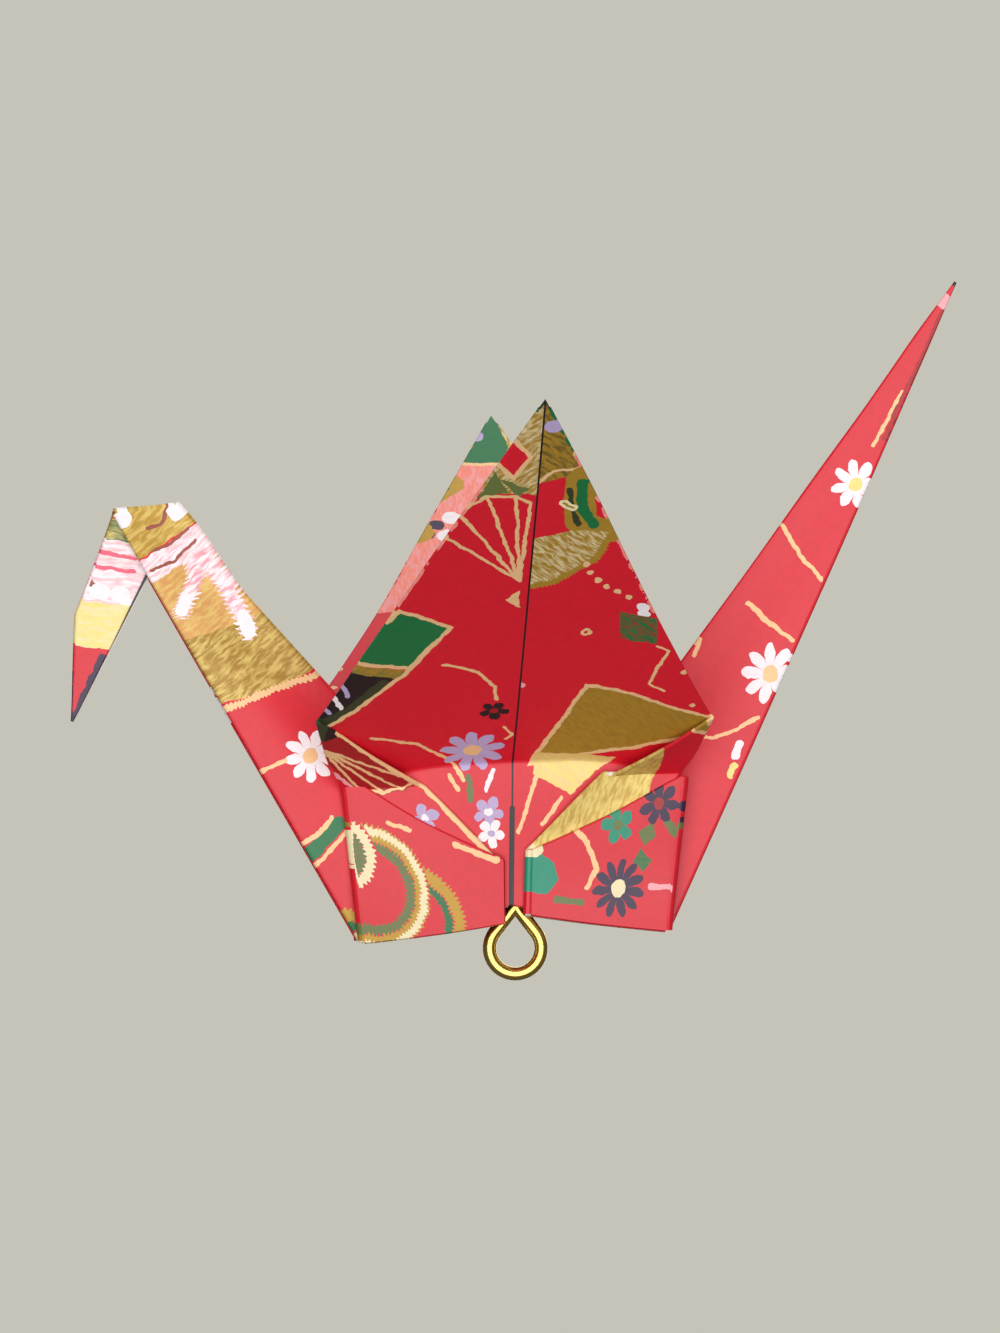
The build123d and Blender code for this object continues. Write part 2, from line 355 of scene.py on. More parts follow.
def legTurn(slope, lean):
    # The fold at a leg's foot, and the turn that its inside reverse fold gives it
    edge, exact, corner = lowerCorner(slope)
    turn = math.radians(lean + crane["narrowing"])
    baseTurn = turn - math.radians(slope)

    def turnUp(x, y):
        dx, dy = x - exact.x, exact.y - y
        return (corner.x + dx * math.cos(turn) + dy * math.sin(turn),
                corner.y - dx * math.sin(turn) + dy * math.cos(turn))
    return (exact, Vector((-math.cos(baseTurn), math.sin(baseTurn)))), turnUp


def widenNeck(crease):
    # The neck opens a little towards the head, and the head more
    start, line = crease
    normal = Vector((-line.y, line.x)).normalized()
    normal *= math.copysign(1, normal.dot(narrow))

    def widen(x, y):
        along, off = fromFold(x, y)
        far = (Vector((x, y)) - start).dot(normal)
        factor = 1 + (crane["neckWiden"] - 1) * ease(1 - far / over["neckWiden"])
        factor += crane["headWiden"] * ease(-far / over["headWiden"])
        return toFlat(along, off * factor)
    return widen


def legPlace(side, face, layer, lay, pinch, opening):
    # Pressed sharp at the spine and open below
    def place(x, y):
        depth = layerDepth(layer)
        depth *= pinch + (1 - pinch) * ease(x / over["pinch"])
        depth += opening * ease(x / over["openingAcross"]) * ease(y / over["opening"])
        depth *= crane["tipShare"] + (1 - crane["tipShare"]) * ease(y / over["tip"])
        wave = waveAt(side * x, y, face * 8.1)
        x, y = lay(*insetFrom(x, y, crane["legInset"], over["legInset"]))
        shift = crane["tailInset"] if side > 0 else 0
        return Vector((side * x - shift, -face * (depth + wave), y - hangHeight))
    return place


def bodyQuarter(side, face, slope, legLayers):
    # One side of one face of the body, with its half of a wing and the strips that lead to the tucked leg
    edge, _, corner = lowerCorner(slope)
    lower = meet(tip, kiteInner, notch, edge)
    slit, room = Vector((crane["slit"] / 2, 0)), Vector((crane["pinRoom"], 0))
    below, above, spacing = crane["fine"]
    fine = (humpFold.y - below, humpFold.y + above, spacing)
    outlines = {
        "legIn": [meet(room, upright, notch, edge), corner, humpFold,
                  meet(room, upright, centreTop, humpFold - centreTop)],
        "humpIn": [centreTop, humpFold, hingeFold, hingeMid],
        "wingIn": [wingTip, wingFold, hingeFold, hingeMid],
        "flapIn": [meet(slit, upright, notch, edge), corner, humpFold, wingFold,
                   meet(slit, upright, wingTip, wingFold - wingTip)],
        "flapOut": [lower, corner, humpFold, wingFold, tucked],
        "wingOut": [hingeFold, tucked, wingFold],
        "humpOut": [hingeFold, tucked, humpFold],
        "legOut": [lower, corner, humpFold, tucked],
    }
    panels = {name: addPanel(name, side, face, outline, bodyPlace(side, face, name), fine)
              for name, outline in outlines.items()}
    addFold(panels["legIn"], corner, humpFold, panels["legOut"], steps=8)
    addFold(panels["humpIn"], humpFold, hingeFold, panels["humpOut"], steps=6)
    addFold(panels["wingIn"], wingFold, hingeFold, panels["wingOut"], steps=5)
    addFold(panels["flapIn"], corner, humpFold, panels["flapOut"])
    addFold(panels["flapIn"], humpFold, wingFold, panels["flapOut"])
    addFold(panels["humpOut"], tucked, humpFold, panels["legOut"])
    addFold(panels["humpIn"], outlines["legIn"][3], humpFold, panels["legIn"])
    addFold(panels["flapIn"], outlines["flapIn"][4], wingFold, panels["wingIn"])
    addFold(panels["flapOut"], tucked, wingFold, panels["wingOut"])
    addFold(panels["humpIn"], hingeMid, hingeFold, panels["wingIn"])
    addFold(panels["humpOut"], tucked, hingeFold, panels["wingOut"])
    addFold(panels["legOut"], lower, tucked, panels["flapOut"], steps=5)
    for name in ("legIn", "flapIn", "flapOut", "legOut"):
        ends = outlines[name][:2]
        addFold(panels[name], *ends, farPlace=bodyPlace(side, face, name, legLayers[name]),
                steps=6, roundness=crane["lowerRoundness"])


def legShell(side, face, layers, base, lay, end=None, bulge=None, pinch=0.35, opening=0.3):
    # Half of a leg from the fold at its base to its tip, or to another fold: neck, head or tail
    turnedIn = layers["legIn"] > layers["legOut"]
    panels = {}
    for name, layer in layers.items():
        inner = kiteInner if name.endswith("Out") else upright
        start = Vector((crane["tuckRoom"] if turnedIn and name == "flapIn" else 0, 0))
        outline = [meet(tip, narrow, *base), meet(start, inner, *base)]
        if end:
            outline += [meet(start, inner, *end), meet(tip, narrow, *end)]
        else:
            outline += [meet(tip, narrow, start, inner)]
        if bulge:
            outline += [bulge]
        place = legPlace(side, face, layer, lay, pinch, opening)
        panels[name] = addPanel(name, side, face, outline, place)
    for a, b in (("legIn", "legOut"), ("flapIn", "flapOut")):
        outline = [Vector(p) for p in panels[a]["outline"]]
        for p, q in zip(outline[2:], outline[3:] + outline[:1]):
            if not (end and p == outline[2]):
                addFold(panels[a], p, q, panels[b], steps=5)
    p, q = panels["legOut"]["outline"][1:3]
    addFold(panels["legOut"], Vector(p), Vector(q), panels["flapOut"])
    return panels


def joinSpine(front, back, steps):
    # The fold that the front and back halves of a leg share
    p, q = front["outline"][1:3]
    addFold(front, Vector(p), Vector(q), back, steps=steps)


# The neck's side and the tail's side, each with its front and its back
for side, slope, lean, layers in ((-1, crane["neckSlope"], crane["neckLean"], neckLayers),
                                  (1, crane["tailSlope"], crane["tailLean"], tailLayers)):
    base, turnUp = legTurn(slope, lean)
    legs, heads = [], []
    for face in (1, -1):
        bodyQuarter(side, face, slope, layers)
        if side > 0:
            legs.append(legShell(side, face, layers, base, turnUp))
            continue
        # The head's crease, as it is on the widened neck and as it is before that
        browTurn = math.radians(lean + crane["narrowing"] - crane["browTilt"])
        browLine = Vector((-math.cos(browTurn), math.sin(browTurn)))
        along, off = fromFold(*browLine)
        crease = (brow, toFlat(along, off / crane["neckWiden"]))
        widen = widenNeck(crease)
        neck = legShell(side, face, layers, base, lambda x, y: turnUp(*widen(x, y)), crease)
        head = legShell(side, face, headLayers, crease,
                        lambda x, y: turnUp(*reflect(widen(x, y), brow, browLine)),
                        bulge=toFlat(crane["head"] / 2, -crane["headSwell"] * crane["head"]),
                        pinch=0.8, opening=0.1)
        for name in headLayers:
            addFold(head[name], *[Vector(p) for p in head[name]["outline"][:2]], neck[name], steps=6)
        legs.append(neck)
        heads.append(head)
    joinSpine(legs[0]["legIn"], legs[1]["legIn"], 6)
    if heads:
        joinSpine(heads[0]["legIn"], heads[1]["legIn"], 3)
print("sheet folded:", len(points), "points,", len(faces), "faces")


def linear(hexColour):
    # sRGB hex to linear, with full alpha
    channels = [int(hexColour[i:i + 2], 16) / 255 for i in (1, 3, 5)]
    return [c / 12.92 if c <= 0.04045 else ((c + 0.055) / 1.055) ** 2.4 for c in channels] + [1.0]


def addNode(tree, kind, settings=None, links=None, out=None):
    # settings: a dictionary, or an operation's name. links go to the inputs, by key or in order:
    # a value, or another node's output socket. Gives the node, or one of its outputs
    node = tree.nodes.new(kind)
    if isinstance(settings, str):
        settings = {"operation": settings}
    for key, value in (settings or {}).items():
        setattr(node, key, value)
    for key, value in links.items() if isinstance(links, dict) else enumerate(links or ()):
        if isinstance(value, bpy.types.NodeSocket):
            tree.links.new(value, node.inputs[key])
        else:
            node.inputs[key].default_value = value
    return node if out is None else node.outputs[out]


def newMaterial(name):
    material = bpy.data.materials.new(name)
    material.use_nodes = True
    material.node_tree.nodes.clear()
    return material, material.node_tree


maths, vectors = "ShaderNodeMath", "ShaderNodeVectorMath"

# Washi, soft mulberry paper, screen-printed with opaque inks and varnished: to the eye strong flat colours
# with a low sheen, clouded a little by the fibres, lines that waver, and golds that hardly glint.
# Inks as sRGB, and how metallic each is
inks = {
    "ground": ("#DA0B26", 0), "deep red": ("#A80C18", 0), "salmon sheen": ("#FA8672", 0), "rose": ("#EE5A78", 0),
    "pink": ("#F5A8AE", 0), "white": ("#F8EFF2", 0), "cream": ("#F3E3B5", 0), "yellow": ("#F0DF82", 0),
    "gold": ("#F4C58E", 0.1), "old gold": ("#B98F2C", 0.25), "foil": ("#E6CB74", 0.25),
    "orange gold": ("#D59A52", 0.15), "brocade": ("#A67E26", 0.2), "brown": ("#9A4A35", 0),
    "green": ("#06703A", 0), "teal": ("#079070", 0), "olive": ("#66743A", 0), "dark olive": ("#2F3B1E", 0),
    "lilac": ("#B9A6CF", 0), "purple": ("#341A40", 0), "black": ("#140C10", 0),
}
# Widths of the drawn lines and of the black along the cut edges, which is partly edge ink and partly painted
# shade of the gaps between the layers, and spacings, in millimetres
drawn = {
    "outline": 0.26, "rib": 0.2, "tick": 0.24,
    "thread": 0.17, "threadLong": 0.22,       # across a thread, and how slowly it changes along it
    # The black along the cut edges is partly edge ink and partly painted shade of the gaps between the
    # layers; its wider part on the legs and at the foot of the slit is painted shade, and on the plain side
    # it is painted shade only
    "edgeInkAndShade": 0.05, "wideEdgeShade": 0.14, "edgeShadeWidensAt": 23.0, "plainEdgeShade": 0.5,
    "waver": 0.16, "waverLength": 1 / 1.7,    # a drawn line strays by up to this, over this length
    "fringe": 0.15,                           # depth of a fringe, as a share of the line's width
    "petalFoot": 0.28,                        # where the petals start, as a share of the flower's radius
}
paper = {"fibre": 1 / 2.2, "cloud": (0.93, 1.06), "relief": 0.04, "roughness": 0.5, "specular": 0.65}

printed, tree = newMaterial("screen-printed washi")
uvs = addNode(tree, "ShaderNodeUVMap", {"uv_map": "openSheet"}).outputs[0]
split = addNode(tree, "ShaderNodeSeparateXYZ", links={0: uvs})
otherHalf = addNode(tree, maths, "GREATER_THAN", {0: split.outputs[1], 1: 0.0})
sign = addNode(tree, maths, "MULTIPLY_ADD", {0: otherHalf.outputs[0], 1: -2.0, 2: 1.0})
spot = addNode(tree, vectors, "SCALE", {0: uvs, "Scale": sign.outputs[0]})
waver = addNode(tree, "ShaderNodeTexNoise", links={
    "Vector": spot.outputs[0], "Scale": 1 / drawn["waverLength"], "Detail": 2.0})
waver = addNode(tree, vectors, "MULTIPLY_ADD", {
    0: waver.outputs["Color"], 1: (2 * drawn["waver"],) * 3, 2: (-drawn["waver"], -drawn["waver"], 0)})
spot = addNode(tree, vectors, "ADD", {0: spot.outputs[0], 1: waver.outputs[0]})
# The third part is 1, so that a dot product gives the distance from a line
spot = addNode(tree, vectors, "MULTIPLY_ADD", {
    0: spot.outputs[0], 1: (1, 1, 0), 2: (0, 0, 1)}).outputs[0]
# The gold grounds are brocade: long threads, all one way over the sheet, drawn coarser than real ones
long = addNode(tree, vectors, "MULTIPLY", (spot, (1, drawn["threadLong"], 1)), 0)
threads = addNode(tree, "ShaderNodeTexNoise", links={
    "Vector": long, "Scale": 1 / drawn["thread"], "Detail": 3.0}, out=0)
threads = addNode(tree, "ShaderNodeMapRange", links=(threads, 0.42, 0.62, 0.0, 0.7), out=0)

pulled = {"colour": None, "metal": None, "count": 0}    # what the screens have printed so far


def lay(mask, ink):
    # Prints one ink over what is there
    colour, metal = linear(inks[ink][0]), inks[ink][1]
    under = pulled["colour"] or linear(inks["ground"][0])
    pulled["colour"] = addNode(tree, "ShaderNodeMix", {"data_type": "RGBA"}, {
        0: mask, 6: under, 7: colour}).outputs[2]
    pulled["metal"] = addNode(tree, "ShaderNodeMix", links={
        0: mask, 2: pulled["metal"] or 0.0, 3: float(metal)}).outputs[0]
    pulled["count"] += 1


def depthIn(outline):
    # How far a place lies inside a convex outline
    area = sum(p[0] * q[1] - q[0] * p[1] for p, q in zip(outline, outline[1:] + outline[:1]))
    result = None
    for (ax, ay), (bx, by) in zip(outline, outline[1:] + outline[:1]):
        length = math.copysign(math.hypot(bx - ax, by - ay), area)
        nx, ny = (ay - by) / length, (bx - ax) / length
        edge = addNode(tree, vectors, "DOT_PRODUCT", {
            0: spot, 1: (nx, ny, -nx * ax - ny * ay)}).outputs["Value"]
        result = addNode(tree, maths, "MINIMUM", (result, edge), 0) if result else edge
    return result


def farFrom(line):
    # The distance of a place from a broken line
    result = None
    for (ax, ay), (bx, by) in zip(line, line[1:]):
        dx, dy = bx - ax, by - ay
        square = dx * dx + dy * dy
        along = addNode(tree, vectors, "DOT_PRODUCT", {
            0: spot, 1: (dx / square, dy / square, -(dx * ax + dy * ay) / square)}).outputs["Value"]
        along = addNode(tree, "ShaderNodeClamp", links=(along,), out=0)
        nearest = addNode(tree, vectors, "SCALE", {0: (dx, dy, 0), "Scale": along}, 0)
        away = addNode(tree, vectors, "SUBTRACT", (spot, (ax, ay, 1)), 0)
        far = addNode(tree, vectors, "DISTANCE", (away, nearest), "Value")
        result = addNode(tree, maths, "MINIMUM", (result, far), 0) if result else far
    return result


def patch(ink, outline, border=None, mottle=None):
    # A field of one ink, with a border and with the threads of another ink
    depth = depthIn(outline)
    fill = addNode(tree, maths, "GREATER_THAN", (depth, 0.0), 0)
    lay(fill, ink)
    if mottle:
        lay(addNode(tree, maths, "MULTIPLY", (fill, threads), 0), mottle)
    if border:
        lay(addNode(tree, maths, "COMPARE", (depth, 0.0, drawn["outline"] / 2), 0), border)


def fringeWave(away, turns):
    # Lines across an edge, from the point that away is measured from
    parts = addNode(tree, "ShaderNodeSeparateXYZ", links=(away,))
    angle = addNode(tree, maths, "ARCTAN2", (parts.outputs[0], parts.outputs[1]), 0)
    angle = addNode(tree, maths, "MULTIPLY", (angle, turns), 0)
    return addNode(tree, maths, "SINE", (angle,), 0)


def stroke(ink, line, width=None, ticks=None, mottle=None):
    # A brush line. ticks: its edge is fringed, with lines across it from that point
    width = width or drawn["outline"]
    far = farFrom(line)
    if ticks:
        away = addNode(tree, vectors, "SUBTRACT", (spot, (*ticks, 0)), 0)
        reach = math.hypot(line[0][0] - ticks[0], line[0][1] - ticks[1])
        wave = fringeWave(away, math.tau * reach / drawn["tick"])
        far = addNode(tree, maths, "MULTIPLY_ADD", (wave, drawn["fringe"] * width, far), 0)
    fill = addNode(tree, maths, "LESS_THAN", (far, width / 2), 0)
    lay(fill, ink)
    if mottle:
        lay(addNode(tree, maths, "MULTIPLY", (fill, threads), 0), mottle)


def discs(ink, centres, radius, border=None):
    result = None
    for centre in centres:
        far = addNode(tree, vectors, "DISTANCE", (spot, (*centre, 1)), "Value")
        result = addNode(tree, maths, "MINIMUM", (result, far), 0) if result else far
    lay(addNode(tree, maths, "LESS_THAN", (result, radius), 0), ink)
    if border:
        lay(addNode(tree, maths, "COMPARE", (result, radius, drawn["rib"] / 2), 0), border)


def ring(ink, centre, radius, width):
    # A band round a centre, with a fringed edge
    away = addNode(tree, vectors, "SUBTRACT", (spot, (*centre, 1)), 0)
    wave = fringeWave(away, round(math.tau * radius / drawn["tick"]))
    far = addNode(tree, vectors, "LENGTH", (away,), "Value")
    far = addNode(tree, maths, "MULTIPLY_ADD", (wave, drawn["fringe"] * width, far), 0)
    lay(addNode(tree, maths, "COMPARE", (far, radius, width / 2), 0), ink)


def flower(ink, centre, radius, petals, eye):
    # Round petals about an eye of another ink
    foot = drawn["petalFoot"] * radius
    away = addNode(tree, vectors, "SUBTRACT", (spot, (*centre, 1)), 0)
    parts = addNode(tree, "ShaderNodeSeparateXYZ", links=(away,))
    angle = addNode(tree, maths, "ARCTAN2", (parts.outputs[1], parts.outputs[0]), 0)
    angle = addNode(tree, maths, "MULTIPLY", (angle, petals / 2), 0)
    lobe = addNode(tree, maths, "COSINE", (angle,), 0)
    lobe = addNode(tree, maths, "ABSOLUTE", (lobe,), 0)
    lobe = addNode(tree, maths, "SQRT", (lobe,), 0)
    edge = addNode(tree, maths, "MULTIPLY_ADD", (lobe, radius - foot, foot), 0)
    far = addNode(tree, vectors, "LENGTH", (away,), "Value")
    lay(addNode(tree, maths, "LESS_THAN", (far, edge), 0), ink)
    lay(addNode(tree, maths, "LESS_THAN", (far, foot), 0), eye)


def fan(ink, apex, ends):
    for end in ends:
        stroke(ink, [apex, end], drawn["rib"])
    stroke(ink, ends, drawn["rib"])


def fromCutEdge(tree, place):
    # How far inside the sheet's nearest cut edge a place lies
    quarter = addNode(tree, vectors, "ABSOLUTE", (place,), 0)
    reach = addNode(tree, vectors, "DOT_PRODUCT", (quarter, (1, 1, 0)), "Value")
    return addNode(tree, maths, "MULTIPLY_ADD", (reach, -math.sqrt(0.5), middle * math.sqrt(0.5)), 0)


# The motifs, by their places on the open sheet in millimetres from its middle.
# First those on the upper faces of the wings
patch("green", [(0, -53.2), (1.7, -49.0), (-1.7, -49.0)])
# Painted sheen: the salmon field with pink threads is the red ground lightened where the wings' upper faces
# catch the light from above
patch("salmon sheen", [(-1.8, -48.8), (1.8, -48.8), (6.8, -36.6), (-6.8, -36.6)], mottle="pink")
stroke("gold", [(-1.8, -48.9), (1.8, -48.9)])
discs("purple", [(3.4, -43.7), (3.9, -42.9), (-3.0, -42.0)], 0.4)
discs("white", [(2.6, -44.3), (2.9, -42.8), (-2.4, -41.2)], 0.5)
# Wing, left of the slit
patch("old gold", [(0, -53.5), (-5.3, -48.1), (-3.0, -45.9), (-1.0, -49.6)], mottle="cream")
patch("ground", [(-0.9, -50.0), (-2.7, -49.6), (-3.3, -47.9), (-1.4, -48.2)], "gold")
patch("olive", [(-2.3, -47.6), (-3.9, -46.9), (-3.2, -45.5)])
patch("olive", [(-2.7, -47.4), (-4.5, -47.9), (-4.6, -47.0)])
fan("gold", (-9.7, -42.6), [(-5.4, -47.2), (-4.5, -47.0), (-3.4, -46.0), (-3.4, -44.1), (-4.4, -42.3)])
patch("gold", [(-10.4, -41.0), (-10.3, -42.0), (-11.4, -41.1)])
patch("black", [(-11.0, -33.6), (-7.6, -32.0), (-8.0, -26.0), (-10.9, -26.2)])
stroke("lilac", [(-8.2, -31.4), (-9.9, -30.4)], 0.28)
stroke("white", [(-8.8, -30.2), (-10.5, -29.4)], 0.25)
stroke("lilac", [(-9.4, -29.0), (-10.3, -28.7)], 0.2)
stroke("dark olive", [(-10.7, -32.2), (-10.9, -29.6), (-10.6, -27.8), (-9.9, -26.6)], 0.6)
patch("green", [(-6.9, -36.9), (-10.1, -37.5), (-10.9, -33.9), (-7.6, -32.3)], "gold")
patch("old gold", [(-10.9, -33.7), (-7.7, -32.2), (-7.9, -31.5), (-11.0, -32.9)], mottle="olive")
stroke("gold", [(-10.1, -37.4), (-11.1, -33.6), (-11.2, -30.0), (-11.0, -26.2)])
stroke("gold", [(-12.2, -35.1), (-14.0, -35.9), (-15.6, -35.6), (-16.5, -34.9)], 0.2)
flower("black", (-17.2, -34.1), 0.8, 5, "deep red")
stroke("gold", [(-18.7, -33.5), (-19.5, -33.3), (-19.6, -32.8)], 0.18)
stroke("gold", [(-13.8, -28.6), (-16.3, -29.5), (-18.9, -29.5), (-20.3, -29.1)], 0.2)
flower("lilac", (-19.1, -30.9), 1.7, 9, "gold")
# Wing, right of the slit
patch("old gold", [(0, -53.3), (0.8, -51.2), (1.9, -48.5), (2.4, -47.6), (4.6, -48.6)], mottle="dark olive")
discs("lilac", [(1.0, -51.3)], 0.5)
stroke("gold", [(4.4, -48.6), (3.3, -48.7), (2.2, -47.9)], 0.2)
stroke("old gold", [(2.6, -47.2), (3.9, -46.0), (5.0, -44.6), (4.4, -43.1)], 1.7)
stroke("green", [(2.9, -46.9), (4.2, -45.4), (4.6, -44.0)], 0.6)
stroke("dark olive", [(3.7, -47.0), (4.7, -45.6), (5.2, -44.6)], 0.3)
stroke("cream", [(4.6, -46.4), (4.5, -45.8)], 0.55)
stroke("old gold", [(4.6, -46.4), (4.5, -45.8)], 0.18)
patch("old gold", [(7.6, -45.4), (5.6, -44.4), (4.3, -42.9), (6.2, -41.9), (9.2, -42.0), (10.5, -42.7)],
      mottle="cream")
stroke("old gold", [(4.3, -42.9), (6.2, -41.9), (9.2, -42.0), (10.5, -42.7)], 0.4, ticks=(7.6, -45.4))
discs("gold", [(7.0, -41.9), (7.3, -41.2), (7.4, -40.5), (7.4, -39.8), (7.2, -39.1), (7.0, -38.4)], 0.2)
discs("white", [(7.2, -36.9), (6.9, -37.3)], 0.36)
discs("gold", [(10.8, -37.6)], 0.42, "ground")
discs("ground", [(10.8, -37.6)], 0.12)
patch("green", [(8.2, -37.8), (6.9, -36.2), (8.3, -34.6), (9.7, -36.0)], mottle="deep red")
stroke("gold", [(8.4, -34.4), (8.2, -33.8), (9.8, -32.9), (11.0, -32.2), (10.8, -31.3)], 0.18)
discs("gold", [(8.8, -31.9), (10.4, -29.3), (9.1, -30.2)], 0.18)
discs("pink", [(16.4, -36.6)], 0.25)
patch("old gold", [(13.9, -34.0), (12.4, -32.0), (9.8, -26.6), (15.6, -28.2), (19.4, -29.9), (20.8, -30.9)],
      "gold", mottle="brocade")
# Front of the body above the folded edges
flower("lilac", (-22.4, -28.9), 0.8, 5, "white")
flower("white", (-23.3, -28.2), 0.75, 5, "lilac")
stroke("white", [(-21.0, -30.6), (-21.5, -29.6)], 0.25)
stroke("olive", [(-20.4, -29.4), (-21.3, -28.7)], 0.32)
stroke("gold", [(-19.6, -28.8), (-20.5, -28.6)], 0.2)
patch("foil", [(20.0, -31.3), (21.1, -30.4), (20.4, -28.2), (17.0, -28.0)], mottle="gold")
stroke("gold", [(21.0, -30.2), (22.5, -29.4), (23.8, -28.8)], 0.22)
stroke("gold", [(20.9, -28.4), (22.6, -28.2)], 0.22)
# Folded edge on the left
# Painted shade: the deep red field under the fan darkens the folded edge where it lies in the shade below
# the wing
patch("deep red", [(-9.6, -26.4), (-11.0, -26.4), (-13.7, -21.4), (-12.6, -20.6), (-11.0, -20.9),
                   (-9.6, -22.0)])
fan("gold", (-9.8, -25.6), [(-10.0, -21.7), (-11.2, -21.0), (-12.4, -20.8), (-13.4, -21.3)])
stroke("pink", [(-9.2, -24.4), (-9.8, -21.4), (-10.6, -20.6)], 0.25)
flower("lilac", (-12.9, -18.9), 0.75, 4, "white")
stroke("gold", [(-11.1, -26.6), (-15.3, -15.8)], 0.32)
# Folded edge on the right
patch("foil", [(11.6, -25.9), (14.2, -22.0), (15.8, -18.5), (15.9, -15.9), (13.0, -15.7), (10.2, -18.5),
               (9.9, -21.0), (10.8, -23.0)], mottle="old gold")
# Body, left: scales with gold fringes
ring("old gold", (-16.9, -9.3), 2.9, 0.6)
ring("green", (-16.9, -9.3), 2.35, 0.4)
discs("ground", [(-14.75, -8.1)], 3.3)
ring("old gold", (-14.75, -8.1), 2.85, 0.8)
ring("cream", (-14.75, -8.1), 3.0, 0.4)
ring("olive", (-14.75, -8.1), 2.2, 0.5)
discs("ground", [(-12.6, -6.95)], 2.2)
ring("cream", (-12.6, -6.95), 1.8, 0.55)
ring("olive", (-12.6, -6.95), 1.3, 0.5)
stroke("gold", [(-11.8, -10.4), (-12.5, -11.5)], 0.22)
stroke("gold", [(-13.9, -13.5), (-15.4, -15.2)], 0.3)
# Body, right
patch("teal", [(15.9, -15.7), (15.5, -15.1), (15.6, -14.3), (16.4, -13.6), (17.4, -13.9), (17.6, -15.0)])
discs("cream", [(15.4, -15.5)], 0.45)
stroke("gold", [(13.6, -13.9), (14.1, -12.9), (15.1, -11.9), (16.2, -12.0)])
stroke("olive", [(17.4, -13.3), (17.1, -12.0)], 0.4)
flower("teal", (12.6, -11.7), 1.0, 5, "olive")
patch("olive", [(11.8, -9.7), (12.4, -9.2), (13.1, -9.7), (12.5, -10.3)])
stroke("olive", [(11.5, -9.0), (12.0, -8.2)], 0.4)
patch("green", [(13.3, -9.8), (13.6, -8.9), (14.3, -9.2), (14.0, -10.0)], mottle="olive")
flower("purple", (15.6, -10.2), 1.6, 11, "cream")
flower("purple", (10.8, -9.8), 1.15, 7, "deep red")
stroke("pink", [(14.9, -8.4), (14.5, -7.2)], 0.35)
# Neck, from its foot to the head
stroke("green", [(-22.4, -6.9), (-22.5, -5.2), (-22.6, -4.2)], 0.8)
stroke("gold", [(-23.1, -6.7), (-22.9, -5.0), (-23.1, -4.2)], 0.22)
stroke("gold", [(-21.8, -7.0), (-21.9, -5.0), (-22.0, -4.2)], 0.22)
flower("white", (-26.2, -2.9), 1.4, 9, "gold")
stroke("gold", [(-27.3, -5.4), (-27.1, -4.7), (-26.9, -4.1)], 0.22)
patch("brocade", [(-31.0, -4.9), (-30.3, -2.7), (-29.7, -1.2), (-29.0, 0.3), (-33.5, 0.3), (-35.2, -4.0)],
      mottle="foil")
stroke("gold", [(-31.0, -4.9), (-30.3, -2.7), (-29.7, -1.2), (-29.0, 0.3)], 0.34, ticks=(-36.0, -0.5))
patch("orange gold", [(-34.9, -4.2), (-34.0, -1.5), (-33.2, 0.3), (-38.2, 0.3), (-38.4, -3.5)],
      mottle="foil")
for line in ([(-38.0, -0.3), (-35.6, -0.3), (-34.0, -0.7), (-33.2, -1.0)],
             [(-38.0, -0.9), (-37.2, -1.1), (-36.7, -1.9), (-36.3, -3.0)]):
    stroke("white", line, 0.85, ticks=(-38.0, -6.0), mottle="rose")
stroke("white", [(-33.9, -0.7), (-33.1, -1.0)], 0.7)
stroke("white", [(-36.6, -2.4), (-36.3, -3.0)], 0.7)
patch("white", [(-39.7, -3.4), (-39.2, 0.3), (-37.9, 0.3), (-38.4, -3.6)], mottle="pink")
stroke("brown", [(-39.3, -0.2), (-39.3, -1.2), (-39.6, -2.2)], 0.16)
stroke("brown", [(-38.6, -0.3), (-38.5, -1.5), (-38.9, -2.8)], 0.16)
patch("old gold", [(-39.8, -3.4), (-39.3, 0.3), (-42.2, 0.3), (-42.6, -2.9)], mottle="foil")
stroke("brown", [(-40.8, -0.3), (-40.4, -1.0), (-40.7, -1.6)], 0.2)
discs("white", [(-40.4, -0.1), (-41.9, -2.2)], 0.45)
# Head
patch("olive", [(-42.6, -3.2), (-42.5, 0.2), (-43.6, 0.2), (-43.8, -3.4)], mottle="foil")
patch("white", [(-43.7, -3.6), (-43.5, 0.2), (-47.0, 0.2), (-47.0, -2.8)], mottle="pink")
stroke("rose", [(-44.2, -1.4), (-44.5, -2.9)], 0.2)
stroke("rose", [(-45.0, -1.2), (-45.2, -2.8)], 0.2)
stroke("brown", [(-45.6, -0.9), (-46.2, -1.3)], 0.25)
discs("white", [(-46.4, -2.2), (-46.3, -1.4)], 0.42)
patch("yellow", [(-46.9, -3.0), (-46.9, 0.2), (-49.2, 0.2), (-49.2, -2.4)], mottle="cream")
# Painted shade: a dark line along the beak's edge towards its tip, for the gap between the layers there
stroke("purple", [(-49.6, -1.35), (-53.0, -0.05)], 0.25)
# Tail
flower("white", (41.4, -1.9), 1.35, 8, "yellow")
flower("white", (30.8, -4.1), 1.6, 9, "gold")
stroke("gold", [(37.4, 0), (36.7, -1.6), (36.4, -3.3)], 0.24)
stroke("gold", [(33.1, -0.9), (32.9, -2.3), (32.9, -4.0)], 0.24)
stroke("gold", [(46.7, -1.1), (45.0, -1.3), (43.6, -1.5)], 0.2)
stroke("gold", [(25.7, -2.4), (26.3, -3.5), (27.4, -4.3), (28.6, -4.9)], 0.22)
stroke("gold", [(29.2, -0.2), (30.1, 0)], 0.2)
stroke("white", [(26.9, -4.9), (26.3, -5.1)], 0.45)
stroke("yellow", [(25.8, -5.4), (25.3, -5.5)], 0.4)
# Painted shade: a dark red line along the tail's edge towards its tip, for the gap between its layers
stroke("deep red", [(44.2, -1.75), (51.6, -0.25)], 0.2)
discs("pink", [(51.9, -0.1)], 0.4)
